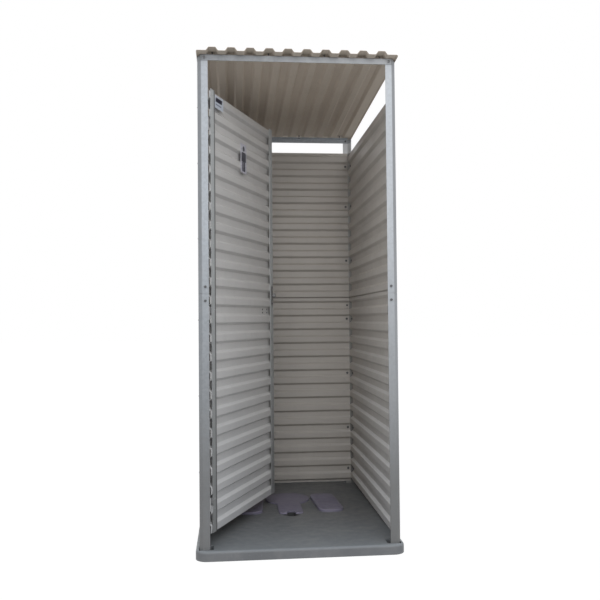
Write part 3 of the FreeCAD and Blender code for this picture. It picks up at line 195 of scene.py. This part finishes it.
# Roughness of the finishes, from smoothest to roughest
SHEET_ROUGHNESS = (0.38, 0.52)
ROOF_ROUGHNESS = (0.66, 0.80)
STILE_ROUGHNESS = (0.42, 0.58)
ZINC_ROUGHNESS = (0.46, 0.60)
PLATING_ROUGHNESS = (0.30, 0.48)
PLASTIC_ROUGHNESS = (0.42, 0.60)
PRINT_ROUGHNESS = (0.30, 0.42)
RUBBER_ROUGHNESS = 0.75


# Node helpers


class Graph:
    """A material's nodes, built in object space, where a place is its place at rest."""

    def __init__(self, name):
        self.material = bpy.data.materials.new(name)
        self.material.use_nodes = True
        self.tree = self.material.node_tree
        self.shader = self.tree.nodes["Principled BSDF"]
        self.coords = self.node("ShaderNodeTexCoord").outputs["Object"]

    def node(self, kind, **settings):
        made = self.tree.nodes.new(kind)
        for key, value in settings.items():
            setattr(made, key, value)
        return made

    def feed(self, socket, value):
        """Links an output to the socket, or sets a constant on it."""
        if isinstance(value, bpy.types.NodeSocket):
            self.tree.links.new(value, socket)
        else:
            socket.default_value = value

    def stretched(self, scale):
        mapping = self.node("ShaderNodeMapping")
        self.feed(mapping.inputs["Vector"], self.coords)
        self.feed(mapping.inputs["Scale"], scale)
        return mapping.outputs["Vector"]

    def noise(self, scale, detail, rough=0.55, stretch=None):
        """Noise between 0 and 1, with its waves per metre; a stretch scales each axis."""
        made = self.node("ShaderNodeTexNoise")
        self.feed(made.inputs["Vector"], self.stretched(stretch) if stretch else self.coords)
        self.feed(made.inputs["Scale"], scale)
        self.feed(made.inputs["Detail"], detail)
        self.feed(made.inputs["Roughness"], rough)
        return made.outputs["Fac"]

    def crystals(self, scale):
        """Flat cells, each of one grey between 0 and 1."""
        cells = self.node("ShaderNodeTexVoronoi")
        self.feed(cells.inputs["Vector"], self.coords)
        self.feed(cells.inputs["Scale"], scale)
        grey = self.node("ShaderNodeRGBToBW")
        self.feed(grey.inputs[0], cells.outputs["Color"])
        return self.span(grey.outputs[0], low=0.2, high=0.8)

    def span(self, source, low, high, at_low=0.0, at_high=1.0):
        """Maps low and high to two values, and holds those values beyond them."""
        made = self.node("ShaderNodeMapRange")
        self.feed(made.inputs["Value"], source)
        self.feed(made.inputs["From Min"], low)
        self.feed(made.inputs["From Max"], high)
        self.feed(made.inputs["To Min"], at_low)
        self.feed(made.inputs["To Max"], at_high)
        return made.outputs["Result"]

    def patches(self, scale, detail, low, high, strength=1.0, **kind):
        """Noise that shows only over the low level, and fully over the high one."""
        return self.span(self.noise(scale, detail, **kind), low, high, 0.0, strength)

    def uneven(self, scale, detail, limits):
        """A value that wanders between two limits."""
        return self.span(self.noise(scale, detail), 0.3, 0.7, *limits)

    def math(self, operation, *values):
        made = self.node("ShaderNodeMath", operation=operation)
        for socket, value in zip(made.inputs, values):
            self.feed(socket, value)
        return made.outputs[0]

    def product(self, first, *factors):
        total = first
        for factor in factors:
            total = self.math("MULTIPLY", total, factor)
        return total

    def inverse(self, share):
        return self.math("SUBTRACT", 1.0, share)

    def mix(self, share, a, b):
        made = self.node("ShaderNodeMix", data_type="RGBA")
        factor, first, second = made.inputs[0], made.inputs[6], made.inputs[7]
        self.feed(factor, share)
        self.feed(first, a)
        self.feed(second, b)
        return made.outputs[2]

    def mottled(self, share, color, darkest, palest):
        """Shades of one colour, from a darker one where the share is 0 to a paler one."""
        return self.mix(share, scaled(color, darkest), scaled(color, palest))

    def bump(self, height, strength, distance, under=None):
        """Bumps as high as the distance in metres, on top of other bumps if any are given."""
        made = self.node("ShaderNodeBump")
        self.feed(made.inputs["Height"], height)
        self.feed(made.inputs["Strength"], strength)
        self.feed(made.inputs["Distance"], distance)
        if under:
            self.feed(made.inputs["Normal"], under)
        return made.outputs["Normal"]

    def part_of(self, vector, name):
        """One coordinate of a vector."""
        split = self.node("ShaderNodeSeparateXYZ")
        self.feed(split.inputs[0], vector)
        return split.outputs[name]

    def axis(self, name):
        return self.part_of(self.coords, name)

    def reach(self, name):
        """Distance from the cabin's middle along an axis."""
        return self.math("ABSOLUTE", self.axis(name))

    def fade(self, name, places, start, end=0.0):
        """A value that goes from start to end between two places on an axis."""
        return self.span(self.axis(name), *places, start, end)

    def facing_up(self):
        """How far the surface faces up: 1 for level, 0 for upright, below 0 for undersides."""
        return self.part_of(self.node("ShaderNodeTexCoord").outputs["Normal"], "Z")

    def vector_value(self, operation, vector):
        """Dot product with a vector, or distance from a point."""
        made = self.node("ShaderNodeVectorMath", operation=operation)
        self.feed(made.inputs[0], self.coords)
        self.feed(made.inputs[1], vector)
        return made.outputs["Value"]

    def finish(self, color, rough, normal, metallic=0.0):
        self.feed(self.shader.inputs["Base Color"], color)
        self.feed(self.shader.inputs["Roughness"], rough)
        self.feed(self.shader.inputs["Normal"], normal)
        self.feed(self.shader.inputs["Metallic"], metallic)
        return self.material


def scaled(color, factor):
    return tuple(c * factor for c in color[:3]) + (1,)


# Coated sheets


def coated_sheet(name, color, roughness=SHEET_ROUGHNESS):
    """Coil-coated steel: faint cloudiness, run marks down the ribs and shallow waviness."""
    g = Graph(name)
    clouds = g.patches(scale=2.2, detail=3, low=0.35, high=0.70)
    tint = g.mottled(clouds, color, darkest=0.93, palest=1.04)
    runs = g.patches(scale=1.0, detail=5, low=0.55, high=0.78, strength=0.22, rough=0.6,
                     stretch=(26, 26, 1.6))
    tint = g.mix(runs, tint, scaled(color, 0.72))
    # Overlays: dust low down, painted shade on the back wall, a greyer bluer tone low at the
    # front, and painted light on the ribs' upper slopes
    for overlay in (dusty_foot, shaded_back_wall, greyer_low_front, lit_upper_slopes):
        tint = overlay(g, tint)
    specks = g.patches(scale=160, detail=2, low=0.68, high=0.76, strength=0.35)
    tint = g.mix(specks, tint, scaled(color, 0.55))
    waviness = g.bump(g.noise(scale=3.0, detail=2), strength=0.25, distance=0.004)
    peel = g.bump(g.noise(scale=420, detail=2), strength=0.06, distance=0.0006, under=waviness)
    return g.finish(tint, g.uneven(scale=14, detail=4, limits=roughness), peel)


def dusty_foot(g, tint):
    """Dust in patches low down."""
    patches = g.patches(scale=9, detail=5, low=0.35, high=0.70)
    dust = g.product(g.fade("Z", DUST_HEIGHTS, start=0.28), patches)
    return g.mix(dust, tint, SHEET_DUST)


def shaded_back_wall(g, tint):
    """Painted shade on the back wall, low down and in its corners, and on the side walls' ends.
    """
    corners = g.span(g.reach("X"), *CORNER_SHADE_SIDES, at_high=0.25)
    low_down = g.fade("Z", BACK_SHADE_HEIGHTS, start=0.22)
    back = g.math("GREATER_THAN", g.axis("Y"), BACK_WALL_FACE - CORNER_SHADE_WRAP)
    # Painted shade in the back corners and low on the back wall
    darkening = g.product(g.math("MAXIMUM", corners, low_down), back)
    return g.mix(darkening, tint, BACK_PAINTED_SHADE)


def greyer_low_front(g, tint):
    """The coating turns greyer and bluer low down and towards the front."""
    grey_share = g.product(g.fade("Z", GREYER_HEIGHTS, start=0.45),
                         g.fade("Y", GREYER_DEPTHS, start=1.0))
    return g.mix(grey_share, tint, GREYER_BLUE)


def lit_upper_slopes(g, tint):
    """Painted light on the ribs' upper slopes low down, most on the right, least at the back.
    """
    # Painted light where the ribs face up
    slope_light = g.product(
        g.span(g.facing_up(), low=0.2, high=0.8),
        g.fade("Z", SLOPE_LIGHT_HEIGHTS, start=0.65),
        g.fade("X", SLOPE_LIGHT_SIDES, start=0.5, end=1.05),
        g.fade("Y", SLOPE_LIGHT_DEPTHS, start=1.0, end=0.3))
    return g.mix(slope_light, tint, SLOPE_PAINTED_LIGHT)


# Painted and galvanised steel


def painted_stile(name, color):
    """Painted flat bar: soiled towards the ground, with a painted shadow line along the inner
    edge of the hinge stile, and chipped."""
    g = Graph(name)
    clouds = g.patches(scale=5, detail=4, low=0.35, high=0.70)
    tint = g.mottled(clouds, color, darkest=0.94, palest=1.05)
    tint = g.mix(g.fade("Z", STILE_SOIL_HEIGHTS, start=0.66), tint, STILE_SOIL)
    from_hinge = g.math("SUBTRACT", g.vector_value("DOT_PRODUCT", DOOR_ALONG),
                        HINGE_PLACE.dot(DOOR_ALONG))
    # Painted shadow along the hinge stile's inner edge
    line = g.product(g.span(from_hinge, *STILE_SHADOW_FADE, at_high=0.8),
                     g.math("LESS_THAN", from_hinge, STILE_SHADOW_END))
    tint = g.mix(line, tint, STILE_EDGE_SHADOW)
    chips = g.patches(scale=110, detail=4, low=0.66, high=0.74, strength=0.4)
    tint = g.mix(chips, tint, scaled(color, 0.5))
    peel = g.bump(g.noise(scale=420, detail=2), strength=0.06, distance=0.0006)
    return g.finish(tint, g.uneven(scale=30, detail=4, limits=STILE_ROUGHNESS), peel)


def galvanised(name, color, metallic=0.25):
    """Zinc spangle: flat crystals of several tones under a white bloom, with painted light
    towards the right, painted shade towards the ground, and dirt with painted shade in patches
    low down."""
    g = Graph(name)
    crystals = g.crystals(scale=95)
    tint = g.mottled(crystals, color, darkest=0.90, palest=1.06)
    bloom = g.patches(scale=12, detail=6, low=0.52, high=0.72, strength=0.35, rough=0.65)
    tint = g.mix(bloom, tint, ZINC_BLOOM)
    # Painted light towards the right
    tint = g.mix(g.fade("X", ZINC_LIGHT_SIDES, start=0.0, end=0.2), tint, PAINTED_LIGHT_ZINC)
    # Painted shade towards the ground
    tint = g.mix(g.fade("Z", POST_SHADE_HEIGHTS, start=0.77), tint, POST_PAINTED_SHADE)
    # Overlays: painted shade on the bevels and back posts, painted light on the back posts and
    # a painted highlight at the feet, right posts darker low down
    for overlay in (shaded_bevels, back_post_insides, darker_low_right_lit_feet):
        tint = overlay(g, tint)
    # Dirt with painted shade in patches low down
    patches = g.patches(scale=20, detail=6, low=0.30, high=0.62)
    darkening = g.product(g.fade("Z", POST_GRIME_AND_SHADE_HEIGHTS, start=0.4), patches)
    tint = g.mix(darkening, tint, POST_GRIME_AND_SHADE)
    rough = g.span(crystals, 0.0, 1.0, *ZINC_ROUGHNESS)
    grain = g.bump(g.noise(scale=300, detail=3), strength=0.08, distance=0.0005)
    return g.finish(tint, rough, grain, metallic)


def depths_in_post(g):
    """Distances inwards from the frame's side faces and end faces."""
    return [g.math("SUBTRACT", outer, g.reach(name)) for outer, name in zip(POST_CORNER, "XY")]


def shaded_bevels(g, tint):
    """The posts' bevelled corners get painted shade, more so higher up."""
    flats = g.span(g.math("ADD", *depths_in_post(g)), *BEVEL_FADE)
    higher_up = g.fade("Z", BEVEL_SHADE_HEIGHTS, start=0.0, end=0.5)
    return g.mix(g.product(g.inverse(flats), higher_up), tint, BEVEL_PAINTED_SHADE)


def back_post_insides(g, tint):
    """Inside, the back posts get painted shade behind the walls' ends, and painted light
    between the walls and the rail."""
    inner = g.math("GREATER_THAN", g.math("MINIMUM", *depths_in_post(g)), STEEL_T / 2)
    inside = g.product(inner, g.math("GREATER_THAN", g.axis("Y"), 0.0))
    over_wall = g.math("GREATER_THAN", g.axis("Z"), WALL_TOP)
    under_rail = g.math("LESS_THAN", g.axis("Z"), BACK_RAIL_BOTTOM)
    # Painted light between the walls and the rail
    tint = g.mix(g.product(inside, over_wall, under_rail), tint, PAINTED_LIGHT_ZINC)
    # Painted shade behind the walls' ends
    behind_wall = g.product(inside, g.inverse(over_wall), POST_SHADE_STRENGTH)
    return g.mix(behind_wall, tint, BACK_POST_PAINTED_SHADE)


def darker_low_right_lit_feet(g, tint):
    """The right posts are darker low down; the feet get a band of painted highlight."""
    darker_low = g.product(g.fade("Z", LOW_RIGHT_HEIGHTS, start=0.35),
                         g.fade("X", LOW_RIGHT_SIDES, start=0.0, end=1.0))
    tint = g.mix(darker_low, tint, LOW_RIGHT_DARK)
    # Painted highlight at the feet
    return g.mix(g.fade("Z", FOOT_HEIGHTS, start=0.2), tint, PAINTED_LIGHT_ZINC)


def plated(name, color, metallic=0.6):
    """Small zinc-plated parts, a little dull, darker in blotches."""
    g = Graph(name)
    blotches = g.patches(scale=70, detail=5, low=0.35, high=0.68)
    tint = g.mottled(blotches, color, darkest=0.75, palest=1.10)
    streaks = g.noise(scale=1.0, detail=3, rough=0.6, stretch=(900, 900, 120))
    scratches = g.bump(streaks, strength=0.08, distance=0.0004)
    rough = g.uneven(scale=130, detail=3, limits=PLATING_ROUGHNESS)
    return g.finish(tint, rough, scratches, metallic)


# Plastic, print and rubber


def moulded(name, color, dust_amount, lit_color=None):
    """Moulded plastic: fine spark texture, flow marks, scuffs and dried dust. With a
    painted-light colour it gets the deck's painted light and painted shade in the finger scoop."""
    g = Graph(name)
    flow = g.patches(scale=3.5, detail=4, low=0.30, high=0.70)
    tint = g.mottled(flow, color, darkest=0.90, palest=1.08)
    dust = g.patches(scale=7, detail=7, low=0.48, high=0.75, strength=dust_amount, rough=0.65)
    tint = g.mix(dust, tint, DRIED_DUST)
    scuffs = g.patches(scale=1.0, detail=6, low=0.62, high=0.74, strength=0.4, rough=0.7,
                       stretch=(60, 9, 40))
    tint = g.mix(scuffs, tint, scaled(color, 1.7))
    if lit_color:
        tint = lit_deck_and_shaded_scoop(g, tint, lit_color)
    spark = g.bump(g.noise(scale=700, detail=2), strength=0.15, distance=0.0005)
    return g.finish(tint, g.uneven(scale=30, detail=4, limits=PLASTIC_ROUGHNESS), spark)


def lit_deck_and_shaded_scoop(g, tint, lit_color):
    """Painted light on the top face towards the doorway, and painted shade in the finger scoop.
    """
    top = g.fade("Z", DECK_FACE_HEIGHTS, start=0.0, end=1.0)
    # Painted light on the deck's top face towards the doorway
    front = g.fade("Y", DECK_LIGHT_DEPTHS, start=0.6)
    tint = g.mix(g.product(front, top), tint, lit_color)
    from_scoop = g.vector_value("DISTANCE", SCOOP_PLACE)
    # Painted shade in the finger scoop
    scoop_shade = g.span(from_scoop, *SCOOP_SHADE_RADII, at_low=0.85, at_high=0.0)
    return g.mix(scoop_shade, tint, SCOOP_PAINTED_SHADE)


def plate_paint(name, color):
    """Printed plate: even colour, slight fading and fine scratches."""
    g = Graph(name)
    fading = g.patches(scale=18, detail=3, low=0.30, high=0.70)
    tint = g.mottled(fading, color, darkest=0.95, palest=1.03)
    fine = g.bump(g.noise(scale=500, detail=2), strength=0.05, distance=0.0003)
    return g.finish(tint, g.uneven(scale=60, detail=3, limits=PRINT_ROUGHNESS), fine)


def rubber(name, color):
    """Matt rubber with a fine grain."""
    g = Graph(name)
    patches = g.patches(scale=120, detail=3, low=0.30, high=0.70)
    tint = g.mottled(patches, color, darkest=0.80, palest=1.60)
    grain = g.bump(g.noise(scale=600, detail=2), strength=0.1, distance=0.0004)
    return g.finish(tint, RUBBER_ROUGHNESS, grain)


def dress_nodes():
    """Gives each CAD node its own finish, or else the finish of its material slot."""
    slot_finishes = {
        "slab_plastic": moulded("slab_plastic", SLAB, dust_amount=0.22, lit_color=SLAB_PAINTED_LIGHT),
        "footrest_plastic": moulded("footrest_plastic", FOOTREST, dust_amount=0.10),
        "wall_sheet": coated_sheet("wall_sheet", SHEET),
        "roof_sheet": coated_sheet("roof_sheet", ROOF, ROOF_ROUGHNESS),
        "door_sheet": coated_sheet("door_sheet", DOOR),
        "stile_steel": painted_stile("stile_steel", STILE),
        "frame_steel": galvanised("frame_steel", ZINC),
        "fitting_steel": plated("fitting_steel", FITTING),
        "fastener_steel": plated("fastener_steel", FASTENER),
        "seal_rubber": rubber("seal_rubber", RUBBER),
        "sign_face": plate_paint("sign_face", SIGN),
        "label_face": plate_paint("label_face", LABEL),
    }
    own_finishes = {
        # The front rail in a shaded copy of the zinc: painted shade
        "front_top_rail": galvanised("front_rail_shaded_steel", RAIL_SHADED_ZINC),
        "plate_rivets": plated("painted_rivets", SIGN, metallic=0.0),
    }
    for entry in frame["record"]["subparts"]:
        obj = frame["nodes"][entry["node"]]
        finish = own_finishes.get(entry["node"], slot_finishes[entry["material_slot"]])
        if not obj.material_slots:
            obj.data.materials.append(finish)
        for slot in obj.material_slots:
            slot.material = finish


# Printing on the door's plates


def plate_axes(name):
    """Carries plate millimetres to metres at rest: X along the plate, Z up, Y outwards."""
    low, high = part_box(name)
    turn = Matrix((DOOR_ALONG, DOOR_OUTWARD, Vector((0, 0, 1)))).transposed().to_4x4()
    face = (low + high) / 2 + DOOR_OUTWARD * PLATE_T / 2
    return Matrix.Translation(face) @ turn @ Matrix.Scale(MM, 4)


def add_prism(bm, outline):
    """A flat printed shape, as thick as the ink."""
    rings = [[bm.verts.new((x, y, z)) for x, z in outline] for y in (0, INK_T)]
    bm.faces.new(rings[0])
    bm.faces.new(rings[1][::-1])
    for k in range(len(outline)):
        near = k - 1
        bm.faces.new((rings[0][near], rings[0][k], rings[1][k], rings[1][near]))


def circle_points(x, z, radius, count=32):
    step = 2 * math.pi / count
    return [(x + radius * math.cos(k * step), z + radius * math.sin(k * step))
            for k in range(count)]


def add_print(name, plate, outlines, material):
    bm = bmesh.new()
    for outline in outlines:
        add_prism(bm, outline)
    bmesh.ops.recalc_face_normals(bm, faces=bm.faces)
    mesh = bpy.data.meshes.new(name)
    bm.to_mesh(mesh)
    bm.free()
    obj = bpy.data.objects.new(name, mesh)
    obj.data.materials.append(material)
    bpy.context.collection.objects.link(obj)
    obj.matrix_world = plate_axes(plate)
    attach(obj, "door")


def print_plates():
    ink = plate_paint("ink", INK)
    grey_ink = plate_paint("grey_ink", GREY_INK)
    add_print("sign_figure", "sign_plate", [circle_points(*FIGURE_HEAD), FIGURE_BODY], ink)
    add_print("label_band", "blank_label", [BAND], ink)
    add_print("label_line", "blank_label", [LINE], grey_ink)


# Camera, lamps, sky and floor


def look_axes():
    """The camera's right, up and forward directions."""
    forward = Vector((math.sin(CAMERA_YAW) * math.cos(CAMERA_PITCH),
                      math.cos(CAMERA_YAW) * math.cos(CAMERA_PITCH),
                      math.sin(CAMERA_PITCH)))
    right = Vector((math.cos(CAMERA_YAW), -math.sin(CAMERA_YAW), 0))
    up = right.cross(forward)
    cos_roll = math.cos(CAMERA_ROLL)
    sin_roll = math.sin(CAMERA_ROLL)
    return right * cos_roll + up * sin_roll, up * cos_roll - right * sin_roll, forward


def add_camera():
    data = bpy.data.cameras.new("camera")
    data.sensor_fit = "HORIZONTAL"
    data.sensor_width = SENSOR
    data.lens = FOCAL_PIXELS / IMAGE_PIXELS * SENSOR
    camera = bpy.data.objects.new("camera", data)
    right, up, forward = look_axes()
    turn = Matrix((right, up, -forward)).transposed().to_4x4()
    camera.matrix_world = Matrix.Translation(CAMERA_PLACE) @ turn
    bpy.context.collection.objects.link(camera)
    bpy.context.scene.camera = camera


def add_lamp(name, place, aim, size, power, color):
    data = bpy.data.lights.new(name, "AREA")
    data.shape = "SQUARE"
    data.size = size
    data.energy = power
    data.color = color
    lamp = bpy.data.objects.new(name, data)
    lamp.location = place
    direction = Vector(aim) - Vector(place)
    lamp.rotation_euler = direction.to_track_quat("-Z", "Y").to_euler()
    bpy.context.collection.objects.link(lamp)


def tree_math(tree, operation, a, b):
    """A maths node fed by an output and by another output or a constant."""
    made = tree.nodes.new("ShaderNodeMath")
    made.operation = operation
    tree.links.new(a, made.inputs[0])
    if isinstance(b, float):
        made.inputs[1].default_value = b
    else:
        tree.links.new(b, made.inputs[1])
    return made.outputs[0]


def seen_directly(tree):
    """1 for camera, glossy and transmission rays."""
    path = tree.nodes.new("ShaderNodeLightPath")
    total = path.outputs["Is Camera Ray"]
    for name in ("Is Glossy Ray", "Is Transmission Ray"):
        total = tree_math(tree, "MAXIMUM", total, path.outputs[name])
    return total


def blend_shaders(tree, share, unseen, seen, output_kind):
    """Sends a blend of two shaders to the tree's output."""
    blend = tree.nodes.new("ShaderNodeMixShader")
    output = tree.nodes.new(output_kind)
    tree.links.new(share, blend.inputs[0])
    tree.links.new(unseen.outputs[0], blend.inputs[1])
    tree.links.new(seen.outputs[0], blend.inputs[2])
    tree.links.new(blend.outputs[0], output.inputs[0])


def add_world():
    """Soft tilted sky light, seen as plain white."""
    world = bpy.data.worlds.new("world")
    world.use_nodes = True
    bpy.context.scene.world = world
    tree = world.node_tree
    tree.nodes.clear()
    coords = tree.nodes.new("ShaderNodeTexCoord")
    tilt = tree.nodes.new("ShaderNodeVectorMath")
    tilt.operation = "DOT_PRODUCT"
    tilt.inputs[1].default_value = SKY_TILT
    tree.links.new(coords.outputs["Generated"], tilt.inputs[0])
    sky = tree.nodes.new("ShaderNodeBackground")
    sky.inputs["Color"].default_value = SKY_COLOR
    strength = tree_math(tree, "ADD", tilt.outputs["Value"], SKY_STRENGTH)
    tree.links.new(strength, sky.inputs["Strength"])
    white = tree.nodes.new("ShaderNodeBackground")
    white.inputs["Color"].default_value = (1, 1, 1, 1)
    blend_shaders(tree, seen_directly(tree), sky, white, "ShaderNodeOutputWorld")


def add_floor():
    """A grey floor that looks almost white, so that only soft shadows show on it."""
    bpy.ops.mesh.primitive_plane_add(size=FLOOR_SIZE, location=(0, 0, 0))
    floor = bpy.context.object
    floor.name = "floor"
    material = bpy.data.materials.new("floor")
    material.use_nodes = True
    tree = material.node_tree
    tree.nodes.clear()
    matte = tree.nodes.new("ShaderNodeBsdfDiffuse")
    matte.inputs["Color"].default_value = FLOOR_GREY
    glow = tree.nodes.new("ShaderNodeEmission")
    glow.inputs["Strength"].default_value = FLOOR_GLOW
    share = tree_math(tree, "MULTIPLY", seen_directly(tree), FLOOR_GLOW_SHARE)
    blend_shaders(tree, share, matte, glow, "ShaderNodeOutputMaterial")
    floor.data.materials.append(material)


dress_nodes()
print_plates()
add_camera()
add_world()
add_floor()
for lamp_name, lamp in LAMPS.items():
    add_lamp(lamp_name, **lamp)
bpy.context.scene.view_settings.view_transform = "Standard"
